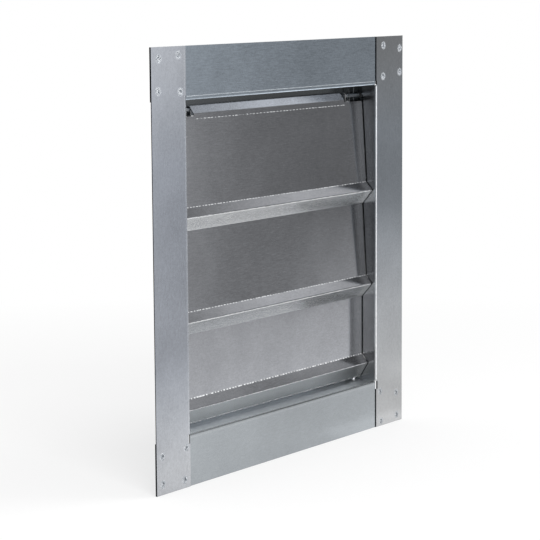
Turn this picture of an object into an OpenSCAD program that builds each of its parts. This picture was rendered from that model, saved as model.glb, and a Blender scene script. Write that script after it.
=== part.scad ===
// Gravity louvre damper in galvanised sheet steel.
// Air from behind swings the three blades forward and up; they fall shut when it stops.
// Front of the damper faces -Y, the wall and duct lie towards +Y, Z is up.
// The origin is the middle of the air opening, half way through the frame's depth.

/* [Opening] */
// Clear width of the air opening
opening_w = 500; // [460:1:900]
// Clear height of the air opening
opening_h = 500; // [440:1:700]

/* [Frame members] */
// Width of the front flange that covers the wall
flange_w = 80; // [60:1:120]
// Depth of one folded member, front face to back face
member_depth = 47; // [46:0.5:80]
// Width of the lip turned in at the back
lip_w = 28; // [20:0.5:29]
// Thickness of the frame sheet
frame_t = 1.5; // [1:0.1:2]
// Inside radius of the frame bends
frame_bend_r = 1.5; // [1:0.1:2.5]
// Gap along the seam where a flange passes a corner
seam_gap = 1.1; // [0.5:0.1:1.5]
// Width of the slot that frees the bends at a lower corner
relief_w = 3.8; // [2:0.1:4.5]
// Length of the slot that frees the bends at a lower corner
relief_l = 14; // [8:0.5:15]

/* [Clinched corners] */
// Diameter left by the clinching punch
punch_d = 7; // [5:0.1:8]
// Wall of drawn sheet round a clinch point
clinch_wall = 1; // [0.8:0.1:1.4]
// Diameter of the dished rim round a clinch point
dish_d = 12; // [10:0.1:12.4]
// Depth of that rim at the punch's edge
dish_depth = 0.45; // [0.2:0.05:0.6]
// Distance from the outer edges to the near clinch points
clinch_edge = 15; // [14:0.5:18]
// Distance from the opening's edges to the far clinch points
clinch_inset = 17; // [15:0.5:20]
// Height of the button that a clinch point raises on the back
clinch_button = 1.2; // [0.6:0.1:1.6]

/* [Blades] */
// Thickness of the blade sheet
blade_t = 1; // [0.7:0.1:1.2]
// Inside radius of the blade folds
blade_bend_r = 1; // [0.6:0.1:1.5]
// Gap between a blade's end and the frame
blade_gap = 2; // [1:0.1:4]
// Distance from one pivot down to the next
blade_pitch = 158; // [130:1:165]
// Height by which a return leg hangs below the next pivot
overlap = 23; // [16:0.5:26]
// Gap between the last blade and the bottom rail
floor_gap = 5; // [3:0.5:15]
// Distance of the blade plate's front face ahead of the pivot axis
plate_front = 6; // [5.5:0.1:7]
// Distance below the pivot axis at which the slight upper crease lies
crease_drop = 14.5; // [12.5:0.1:16]
// Angle by which the strip above that crease leans back
strip_lean = 8; // [4:0.5:12]
// Distance below the pivot axis at which the top flange starts
flange_drop = 6; // [5:0.1:7]
// Width of the leaning top flange
top_flange_w = 13.5; // [10:0.1:16]
// Angle by which the top flange leans back
top_flange_lean = 35; // [25:1:45]
// Length of the notch that frees each pivot
notch_w = 50; // [49:0.5:60]
// Distance below the pivot axis to the bottom of the notch
notch_drop = 10; // [8.5:0.1:12]
// Width of the nose's upper face
nose_w = 18.5; // [14:0.1:20]
// Angle of the nose's upper face from the plate
nose_angle = 39; // [32:1:46]
// Width of the return leg under the nose
return_w = 29.5; // [26:0.1:32]
// Angle of the return leg on the upper blades
return_angle = 44; // [40:1:48]
// Angle of the return leg on the last blade
last_return_angle = 31; // [26:1:38]

/* [Pivots] */
// Distance of the first pivot below the opening's top edge
pivot_drop = 17; // [15:0.5:24]
// Distance of the pivots behind the frame's front face
pivot_depth = 34; // [33:0.1:35]
// Diameter of the pivot pins
pin_d = 6; // [5:0.1:6.5]
// Diameter of the collar on a pivot pin
collar_d = 8; // [7.6:0.1:9]
// Length of the collar on a pivot pin
collar_l = 1.5; // [1:0.1:3]
// Length of pin that shows beyond the frame
pin_end = 3; // [2:0.1:6]
// Radial play of a pin in its bush
running_play = 0.05; // [0.02:0.01:0.09]

/* [Bushes] */
// Outer diameter of the bush's sleeve
sleeve_d = 8; // [7.6:0.1:8.6]
// Diameter of the bush's head
bush_head_d = 9.6; // [9.4:0.1:12]
// Thickness of the bush's head
bush_head_t = 1.4; // [1:0.1:1.6]
// Height of the snap bead on the sleeve
bush_bead = 0.4; // [0.2:0.05:0.6]
// Length of the sleeve beyond the frame
sleeve_end = 2; // [1.5:0.1:2.8]

/* [Pivot brackets] */
// Thickness of the bracket strip
bracket_t = 1.5; // [1.2:0.1:2]
// Inside radius of the bracket bends
bracket_bend_r = 1; // [0.5:0.1:1.5]
// Width of a bracket over its two ears
bracket_w = 13; // [9:0.5:13.5]
// Distance from the blade's end to a bracket
bracket_inset = 32; // [31.8:0.1:34]
// Distance below the pivot axis to the bracket's base
base_drop = 16; // [13:0.5:20]
// Height of the bracket's base
base_h = 30; // [20:1:40]
// Radius of the inner ear's round head
ear_r = 5.2; // [4.6:0.1:5.4]
// Height of the outer ear's tab above the pivot axis
ear_tab = 12; // [6:0.5:12]
// Width of that tab
ear_tab_w = 5; // [3:0.1:5]

/* [Link] */
// Distance of a link pin from the pivot axis
arm_l = 10; // [9:0.1:10.5]
// Angle of the arms below the horizontal when shut
arm_angle = 35; // [30:1:40]
// Radius of the round end of an arm
arm_r = 3.8; // [3.4:0.1:4]
// Diameter of a link pin's bearing length
link_pin_d = 4; // [3.5:0.1:4.4]
// Diameter of a link pin's riveted tail in the arm
link_tail_d = 3; // [2.5:0.1:3.2]
// Diameter of a link pin's head
link_head_d = 6.8; // [6:0.1:7.4]
// Thickness of a link pin's head
link_head_t = 1.2; // [0.8:0.1:1.4]
// Width of the link bar
bar_w = 7; // [6.4:0.1:7.4]
// Thickness of the link bar
bar_t = 2; // [1.5:0.1:2.2]
// Gap on each side of the link bar
side_play = 0.3; // [0.2:0.05:0.5]
// Extra radial play in the lower two holes of the link bar
open_play = 0.15; // [0.1:0.05:0.3]

/* [Hidden] */

// Gap left where pieces of one body seat in each other
seat_gap = 0.02;
// Gap between a resting leg and the plate that it rests on
rest_gap = 0.3;
// Angle covered by one flat of a rounded bend
bend_step = 15;
// Length by which a cutter stands out of what it cuts
over = 1;
// Edge break on turned pins
pin_chamfer = 0.5;
// Edge break on the heads of bushes and rivets
head_chamfer = 0.4;
// Sheet left between the end of a clinch point and the back face of the rail
boss_short = 0.1;
// Length of slot at an upper corner as a share of the slot at a lower one
upper_slot = 0.5;
// Distance of an ear's back edge from the pivot axis as a share of its head's radius
ear_side = 0.9;
// Gap between a bush's snap bead and the stile's web
bead_gap = 0.1;
// Width by which a rivet's tail is spread, at its root and at its end, and its height
tail_root = 0.8;
tail_top = 0.4;
tail_h = 0.7;
// Facets of a round feature; each is a true circle
$fn = 48;

outer_w = opening_w + 2 * flange_w;
outer_h = opening_h + 2 * flange_w;
// The rails' flanges lie behind the stiles', so the frame is one sheet deeper than a member
frame_depth = member_depth + frame_t;
front_y = -frame_depth / 2;
blade_w = opening_w - 2 * blade_gap;
pivot_y = front_y + pivot_depth;
function pivot_z(i) = opening_h / 2 - pivot_drop - (i - 1) * blade_pitch;

// Places of the four clinch points of one corner, from the outer corner
clinch_far = flange_w - clinch_inset;
clinch_grid = [[clinch_edge, clinch_edge], [clinch_far, clinch_edge],
               [clinch_edge, clinch_far], [clinch_far, clinch_far]];
// The clinching tool is held by hand, so each point wanders a little from the grid
clinch_wander = [
    [[2, 2], [-1, -2], [0, 1], [3, 4]],    // top left
    [[-6, 6], [-5, 0], [-6, -2], [-4, 3]], // top right
    [[-1, 1], [2, -2], [-2, -5], [6, -2]], // bottom left
    [[1, -4], [1, -7], [3, -13], [4, -3]]  // bottom right
];
punch_r = punch_d / 2;
boss_r = punch_r + clinch_wall;
button_r = boss_r + clinch_wall;
boss_h = frame_t - boss_short;
pocket_depth = frame_t + boss_h - clinch_wall;
dish_r = dish_d / 2;

// Sheet folding: a path along one face becomes the outline of a folded sheet.
// The sheet lies to the left of the path, and every corner gets a true bend.
function unit(v) = v / norm(v);
function left(v) = [-v[1], v[0]];
function turn(a, b, c) = let (u = unit(b - a), w = unit(c - b)) atan2(u[0] * w[1] - u[1] * w[0], u * w);
function bend(a, b, c, t, r, far) =
    let (
        k = turn(a, b, c),
        near_r = k > 0 ? r + t : r,
        arc_r = far ? (k > 0 ? r : r + t) : near_r,
        u = unit(b - a),
        centre = b - u * near_r * tan(abs(k) / 2) + left(u) * near_r * sign(k),
        from_centre = -left(u) * sign(k),
        start = atan2(from_centre[1], from_centre[0]),
        steps = max(2, ceil(abs(k) / bend_step))
    )
    [for (s = [0:steps]) centre + arc_r * [cos(start + k * s / steps), sin(start + k * s / steps)]];
function bends(path, t, r, far) =
    [for (i = [1:len(path) - 2]) each bend(path[i - 1], path[i], path[i + 1], t, r, far)];
function reversed(v) = [for (i = [len(v) - 1:-1:0]) v[i]];
function folded_sheet(path, t, r) =
    let (
        n = len(path),
        first = path[0] + t * left(unit(path[1] - path[0])),
        last = path[n - 1] + t * left(unit(path[n - 1] - path[n - 2]))
    )
    concat([path[0]], bends(path, t, r, false), [path[n - 1], last],
           reversed(bends(path, t, r, true)), [first]);

// Blade section, as [y, z] from the pivot axis, along the front face from the top flange down
flange_root = [-plate_front + (crease_drop - flange_drop) * tan(strip_lean), -flange_drop];
flange_tip = flange_root + top_flange_w * [sin(top_flange_lean), cos(top_flange_lean)];
nose_step = nose_w * [-sin(nose_angle), -cos(nose_angle)];
function return_step(angle) = return_w * [sin(angle), -cos(angle)];
function leg_drop(angle) = -(nose_step + return_step(angle))[1];
function plate_end(i) =
    i < 3 ? blade_pitch + overlap - leg_drop(return_angle)
          : opening_h - pivot_drop - 2 * blade_pitch - floor_gap - leg_drop(last_return_angle);
function blade_path(i) =
    let (
        foot = [-plate_front, -plate_end(i)],
        nose = foot + nose_step,
        leg = nose + return_step(i < 3 ? return_angle : last_return_angle)
    )
    [flange_tip, flange_root, [-plate_front, -crease_drop], foot, nose, leg];

// An upper blade settles forward until its return leg lies on the plate below.
// The back corner of the leg is what touches; the angle is found by repeated trial.
leg_heading = unit(return_step(return_angle));
leg_corner = blade_path(1)[5] + blade_t * left(leg_heading);
function settle(lean, below, tries) =
    tries == 0 ? lean :
    let (
        height = blade_pitch - leg_corner[0] * sin(lean) + leg_corner[1] * cos(lean),
        plate_y = -plate_front / cos(below) + height * tan(below) - rest_gap
    )
    settle(asin((plate_y - leg_corner[0] * cos(lean)) / leg_corner[1]), below, tries - 1);
lean_2 = settle(0, 0, 8);
lean_1 = settle(0, lean_2, 8);
lean_by_blade = [lean_1, lean_2, 0];
function lean(i) = lean_by_blade[i - 1];

// Places along the pivot axis, measured from the middle of the damper
ear_out_x = blade_w / 2 - bracket_inset;
ear_in_x = ear_out_x - bracket_w;
bar_x = ear_in_x - side_play - bar_t;
head_x = bar_x - side_play - link_head_t;
// Link pin from the pivot axis when the damper is shut
arm = arm_l * [cos(arm_angle), -sin(arm_angle)];

// Runs a section drawn as [y, z] along X, from x0 to x1
module along_x(x0, x1) {
    translate([x0, 0, 0]) rotate([90, 0, 90]) linear_extrude(x1 - x0) children();
}

// Turns a profile drawn as [radius, x] about the X axis
module turned() {
    rotate([0, 90, 0]) rotate_extrude() children();
}

// Carries a blade's own frame to its pivot, at the angle at which it rests
module at_pivot(i) {
    translate([0, pivot_y, pivot_z(i)]) rotate([-lean(i), 0, 0]) children();
}

// One folded member: flange in front, web along the opening, lip turned in behind.
// The opening lies at x < 0, the front face is y = 0 and the member runs along z.
// A slot is [width, length] from the corner of the opening, at the low and at the high end.
module member(run, total, lip_trim, slots) {
    lip_y = member_depth - frame_t;
    section = folded_sheet([[-lip_w, lip_y], [0, lip_y], [0, 0], [flange_w, 0]], frame_t, frame_bend_r);
    difference() {
        union() {
            translate([0, 0, -run / 2]) linear_extrude(run) polygon(section);
            for (side = [-1, 1])
                scale([1, 1, side]) translate([seam_gap, 0, run / 2])
                    cube([flange_w - seam_gap, frame_t, (total - run) / 2]);
        }
        for (side = [-1, 1]) scale([1, 1, side]) {
            slot = side < 0 ? slots[0] : slots[1];
            translate([-over, -over, run / 2]) cube([over + slot[0], frame_t + 2 * over, slot[1]]);
            if (lip_trim > 0)
                translate([-lip_w - over, lip_y - frame_bend_r, run / 2 - lip_trim])
                    cube([lip_w + frame_t + 2 * over, frame_t + frame_bend_r + over, lip_trim + over]);
        }
    }
}

// Repeats its children at the clinch points of the corners that a test picks out
module at_clinches(sides_x, sides_z) {
    for (sx = sides_x, sz = sides_z, k = [0:3]) {
        corner = (sz > 0 ? 0 : 2) + (sx > 0 ? 1 : 0);
        place = clinch_grid[k] + clinch_wander[corner][k];
        translate([sx * (outer_w / 2 - place[0]), front_y, sz * (outer_h / 2 - place[1])])
            rotate([-90, 0, 0]) children();
    }
}

// A stile: full height, its flange in front, with holes for the three bushes.
// The lip stops short of the rails' bends.
module stile(side) {
    slot = [seam_gap + relief_w, relief_l];
    difference() {
        union() {
            scale([side, 1, 1]) translate([opening_w / 2, front_y, 0])
                member(opening_h, outer_h, 2 * frame_bend_r, [slot, upper_slot * slot]);
            at_clinches([side], [-1, 1]) translate([0, 0, frame_t]) cylinder(r = boss_r, h = boss_h);
        }
        at_clinches([side], [-1, 1]) rotate_extrude() polygon([
            [0, -over], [dish_r, -over], [dish_r, 0], [punch_r, dish_depth],
            [punch_r, pocket_depth], [0, pocket_depth]]);
        for (i = [1:3]) translate([side * opening_w / 2, pivot_y, pivot_z(i)]) rotate([0, 90, 0])
            cylinder(d = sleeve_d + 2 * seat_gap, h = 4 * frame_t, center = true);
    }
}

// A rail: its flange passes behind the stiles' and takes the pressed-in clinch points
module rail(side) {
    slot = (side > 0 ? 1 : upper_slot) * [relief_l, seam_gap + relief_w];
    difference() {
        union() {
            scale([1, 1, side]) translate([0, front_y + frame_t, -opening_h / 2]) rotate([0, 90, 0])
                member(opening_w, outer_w, 0, [slot, slot]);
            at_clinches([-1, 1], [-side]) translate([0, 0, 2 * frame_t])
                cylinder(r = button_r, h = clinch_button);
        }
        at_clinches([-1, 1], [-side]) translate([0, 0, frame_t - over])
            cylinder(r = boss_r + seat_gap, h = over + boss_h + seat_gap);
    }
}

// A blade: one folded sheet, its top flange cut back at both ends to free the pivots
module blade(i) {
    half = blade_w / 2;
    at_pivot(i) difference() {
        along_x(-half, half) polygon(folded_sheet(blade_path(i), blade_t, blade_bend_r));
        for (side = [-1, 1]) scale([side, 1, 1])
            translate([half - notch_w, -plate_front - over, -notch_drop])
                cube([notch_w + over, plate_front + flange_tip[0] + 4 * over, 2 * plate_end(1)]);
    }
}

// Side outline of a bracket: a round head about the pivot axis on a tapering leg.
// The outer ear also has a tab that stands above the axis.
module bracket_outline() {
    base_z = -base_drop - base_h;
    back_y = -plate_front + blade_t;
    // The ears step back where the blade's upper strip leans towards them
    ear_front_y = back_y + (crease_drop - notch_drop) * tan(strip_lean) + rest_gap;
    side_y = ear_side * ear_r;
    x0 = ear_in_x - over;
    x1 = ear_out_x + over;
    along_x(x0, x1) circle(r = ear_r);
    along_x(x0, x1) polygon([[back_y, base_z], [back_y, -base_drop], [ear_front_y, -base_drop],
                             [ear_front_y, 0], [side_y, 0], [side_y, -ear_r],
                             [back_y + 2 * bracket_t, base_z]]);
    along_x(ear_out_x - bracket_w / 2, x1) polygon([
        [ear_front_y, -over], [ear_front_y, ear_tab], [ear_front_y + ear_tab_w, ear_tab],
        [side_y, -over]]);
}

// Side view of the arm that reaches from the pivot to the link pin
module arm_shape() {
    rotate(-arm_angle) {
        translate([0, -arm_r]) square([arm_l, 2 * arm_r]);
        translate([arm_l, 0]) circle(r = arm_r);
    }
}

// A pivot bracket: a strip folded to a U, welded behind the plate, two ears for the pin.
// On the right its inner ear carries the arm, which is set for the blade's lean.
module bracket(i, side) {
    back_y = -plate_front + blade_t;
    reach = arm_l + arm_r + over;
    u_path = [[ear_in_x, reach], [ear_in_x, back_y], [ear_out_x, back_y], [ear_out_x, reach]];
    base_z = -base_drop - base_h;
    at_pivot(i) scale([side, 1, 1]) difference() {
        union() {
            intersection() {
                translate([0, 0, base_z]) linear_extrude(base_h + base_drop + ear_tab + over)
                    polygon(folded_sheet(u_path, bracket_t, bracket_bend_r));
                union() bracket_outline();
            }
            if (side > 0)
                along_x(ear_in_x, ear_in_x + bracket_t) rotate(lean(i)) arm_shape();
        }
        translate([ear_in_x + bracket_t, back_y - over, -base_drop])
            cube([bracket_w - 2 * bracket_t, 4 * bracket_t, base_drop + ear_tab + 2 * over]);
        along_x(ear_in_x - over, ear_out_x + over) circle(d = pin_d + 2 * seat_gap);
        if (side > 0)
            along_x(ear_in_x - over, ear_in_x + bracket_t + over) rotate(lean(i)) translate(
                [arm[0], arm[1]]) circle(d = link_tail_d + 2 * seat_gap);
    }
}

// A turned pivot pin, staked flush in the inner ear, its collar against the outer ear
module pivot_pin(i, side) {
    r = pin_d / 2;
    end_x = opening_w / 2 + frame_t + pin_end;
    at_pivot(i) scale([side, 1, 1]) turned() polygon([
        [0, ear_in_x], [r, ear_in_x], [r, ear_out_x], [collar_d / 2, ear_out_x],
        [collar_d / 2, ear_out_x + collar_l], [r, ear_out_x + collar_l],
        [r, end_x - pin_chamfer], [r - pin_chamfer, end_x], [0, end_x]]);
}

// A flanged bush, pushed into the stile from inside and held by its snap bead
module bush(i, side) {
    bore_r = pin_d / 2 + running_play;
    sleeve_r = sleeve_d / 2;
    head_r = bush_head_d / 2;
    face_x = opening_w / 2;
    back_x = face_x + frame_t;
    bead_x = back_x + bead_gap;
    translate([0, pivot_y, pivot_z(i)]) scale([side, 1, 1]) turned() polygon([
        [bore_r, face_x - bush_head_t], [head_r - head_chamfer, face_x - bush_head_t],
        [head_r, face_x - bush_head_t + head_chamfer], [head_r, face_x],
        [sleeve_r, face_x], [sleeve_r, bead_x], [sleeve_r + bush_bead, bead_x + bush_bead],
        [sleeve_r, back_x + sleeve_end], [bore_r, back_x + sleeve_end]]);
}

// The flat bar that ties the three arms together
module link_bar_shape() {
    length = 2 * blade_pitch;
    difference() {
        union() {
            translate([-bar_w / 2, -length]) square([bar_w, length]);
            for (i = [0, 2]) translate([0, -i * blade_pitch]) circle(d = bar_w);
        }
        for (i = [0:2]) translate([0, -i * blade_pitch])
            circle(d = link_pin_d + 2 * running_play + (i > 0 ? 2 * open_play : 0));
    }
}

// A shouldered rivet: tail riveted over in the arm, bearing length in the bar, head outside
module link_pin(i) {
    far_x = ear_in_x + bracket_t;
    head_r = link_head_d / 2;
    pin_r = link_pin_d / 2;
    tail_r = link_tail_d / 2;
    translate([0, pivot_y + arm[0], pivot_z(i) + arm[1]]) turned() polygon([
        [0, head_x], [head_r - head_chamfer, head_x], [head_r, head_x + head_chamfer],
        [head_r, head_x + link_head_t], [pin_r, head_x + link_head_t], [pin_r, ear_in_x],
        [tail_r, ear_in_x], [tail_r, far_x], [tail_r + tail_root, far_x],
        [tail_r + tail_top, far_x + tail_h], [0, far_x + tail_h]]);
}

module left_stile() { color("#b6bdc6") stile(-1); }
module right_stile() { color("#a9aeb3") stile(1); }
module top_rail() { color("#9aa3ab") rail(-1); }
module bottom_rail() { color("#b2b7ba") rail(1); }
module louvre_blade(i) { color("#9b9da0") blade(i); }
module left_bracket(i) { color("#8c9196") bracket(i, -1); }
module right_bracket(i) { color("#8c9196") bracket(i, 1); }
module left_pin(i) { color("#c9ccd0") pivot_pin(i, -1); }
module right_pin(i) { color("#c9ccd0") pivot_pin(i, 1); }
module left_bush(i) { color("#26282a") bush(i, -1); }
module right_bush(i) { color("#26282a") bush(i, 1); }
module link_bar() {
    color("#a3a8ad") translate([0, pivot_y + arm[0], pivot_z(1) + arm[1]])
        along_x(bar_x, bar_x + bar_t) link_bar_shape();
}
module rivet(i) { color("#c9ccd0") link_pin(i); }

left_stile();
right_stile();
top_rail();
bottom_rail();
louvre_blade(1);  // blade_1
louvre_blade(2);  // blade_2
louvre_blade(3);  // blade_3
left_bracket(1);  // left_bracket_1
left_bracket(2);  // left_bracket_2
left_bracket(3);  // left_bracket_3
right_bracket(1);  // right_bracket_1
right_bracket(2);  // right_bracket_2
right_bracket(3);  // right_bracket_3
left_pin(1);  // left_pin_1
left_pin(2);  // left_pin_2
left_pin(3);  // left_pin_3
right_pin(1);  // right_pin_1
right_pin(2);  // right_pin_2
right_pin(3);  // right_pin_3
left_bush(1);  // left_bush_1
left_bush(2);  // left_bush_2
left_bush(3);  // left_bush_3
right_bush(1);  // right_bush_1
right_bush(2);  // right_bush_2
right_bush(3);  // right_bush_3
link_bar();
rivet(1);  // link_pin_1
rivet(2);  // link_pin_2
rivet(3);  // link_pin_3
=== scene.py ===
"""Dresses the gravity louvre damper: its galvanised sheet, folds, clinch points, pivots and link."""

import logging
import math
from dataclasses import dataclass, field
from enum import Enum
from typing import Any

import bmesh
import bpy
from mathutils import Euler, Matrix, Vector


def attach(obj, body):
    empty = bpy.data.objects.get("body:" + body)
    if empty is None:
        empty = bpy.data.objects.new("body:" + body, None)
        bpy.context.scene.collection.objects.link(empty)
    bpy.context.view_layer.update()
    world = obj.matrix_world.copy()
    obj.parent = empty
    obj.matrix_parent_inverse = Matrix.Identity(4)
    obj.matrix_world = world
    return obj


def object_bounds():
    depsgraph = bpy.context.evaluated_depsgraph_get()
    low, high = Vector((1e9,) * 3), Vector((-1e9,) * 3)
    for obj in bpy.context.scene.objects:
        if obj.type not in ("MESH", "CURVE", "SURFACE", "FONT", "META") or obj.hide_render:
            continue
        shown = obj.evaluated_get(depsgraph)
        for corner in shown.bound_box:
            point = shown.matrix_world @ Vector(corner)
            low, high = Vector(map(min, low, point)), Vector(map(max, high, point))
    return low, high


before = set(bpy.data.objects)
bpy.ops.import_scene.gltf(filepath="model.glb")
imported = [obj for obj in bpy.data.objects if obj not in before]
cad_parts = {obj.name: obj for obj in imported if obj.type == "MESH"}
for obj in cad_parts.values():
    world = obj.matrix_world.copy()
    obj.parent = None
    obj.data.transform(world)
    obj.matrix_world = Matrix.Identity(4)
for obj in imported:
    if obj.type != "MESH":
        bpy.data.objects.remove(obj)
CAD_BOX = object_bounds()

log = logging.getLogger("damper")

MM = 0.001
FRONT_Y = CAD_BOX[0].y
PIVOT_Y = FRONT_Y + 34 * MM
PIVOT_Z = (233 * MM, 75 * MM, -83 * MM)
HALF = 330 * MM


class Grain(Enum):
    """The direction in which a sheet was rolled, as the row axis that its grain follows."""

    ACROSS = 0
    UP = 2


def linear(colour: str, factor: float = 1.0) -> tuple[float, float, float, float]:
    """Turns an sRGB hex colour to the linear colour that a socket takes.

    Args:
        colour: Six hex digits with a leading hash.
        factor: Share of its light that the colour keeps, for a darker or paler batch.

    Returns:
        Red, green, blue and an alpha of one.
    """
    parts = [int(colour[i:i + 2], 16) / 255 for i in (1, 3, 5)]
    light = (c / 12.92 if c <= 0.04045 else ((c + 0.055) / 1.055) ** 2.4 for c in parts)
    return (*(min(1.0, c * factor) for c in light), 1.0)


def add(tree: bpy.types.NodeTree, kind: str, inputs: dict[str | int, Any] | None = None,
        **settings: Any) -> bpy.types.Node:
    """Adds one node with its settings, values and links.

    Args:
        tree: The node tree that takes the node.
        kind: The node's type name.
        inputs: Input names or numbers, each with a value or with the socket that feeds it.
        **settings: Properties of the node itself.

    Returns:
        The new node.
    """
    node = tree.nodes.new(kind)
    for name, value in settings.items():
        setattr(node, name, value)
    for key, value in (inputs or {}).items():
        if isinstance(value, bpy.types.NodeSocket):
            tree.links.new(value, node.inputs[key])
        else:
            node.inputs[key].default_value = value
    return node


def mixed(tree: bpy.types.NodeTree, factor: Any, low: Any, high: Any) -> bpy.types.NodeSocket:
    """Mixes two colours.

    Args:
        tree: The node tree.
        factor: Share of the second colour, a value or a socket.
        low: First colour, a value or a socket.
        high: Second colour, a value or a socket.

    Returns:
        The socket that gives the mixed colour.
    """
    node = add(tree, "ShaderNodeMix", {"Factor": factor, "A": low, "B": high}, data_type="RGBA")
    return next(s for s in node.outputs if s.type == "RGBA" and s.enabled)


def ramp(tree: bpy.types.NodeTree, value: bpy.types.NodeSocket,
         steps: tuple[tuple[float, float], ...]) -> bpy.types.NodeSocket | float:
    """Runs a value through a line of steps, straight between them and level beyond the ends.

    Args:
        tree: The node tree.
        value: The value that is looked up.
        steps: Pairs of that value and the level there, rising.

    Returns:
        The level.
    """
    level: bpy.types.NodeSocket | float = steps[0][1]
    for (t0, v0), (t1, v1) in zip(steps, steps[1:]):
        part = add(tree, "ShaderNodeMapRange", {"Value": value, "From Min": t0, "From Max": t1,
                                                "To Max": v1 - v0})
        level = add(tree, "ShaderNodeMath", {0: level, 1: part.outputs[0]}, operation="ADD").outputs[0]
    return level


def blank(name: str) -> tuple[bpy.types.Material, bpy.types.NodeTree]:
    """Starts a material with an empty tree.

    Args:
        name: Name of the material.

    Returns:
        The material and its tree.
    """
    mat = bpy.data.materials.new(name)
    mat.use_nodes = True
    mat.node_tree.nodes.clear()
    return mat, mat.node_tree


@dataclass(frozen=True)
class FoldHighlight:
    """A pale, dull line painted as a highlight along a fold or a die's crease, along the sheet's grain.

    Attributes:
        height: Place of the line across the grain in the sheet's own frame, in millimetres.
        width: Width of the painted band, in millimetres.
        reach: Half the length of the line from the middle, in millimetres.
        strength: How strong the painted highlight is, from 0 to 1.
        glints: Distance between the dots along the painted highlight, in millimetres; 0 for none.
    """

    height: float
    width: float
    reach: float
    strength: float
    glints: float = 0.0


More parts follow.
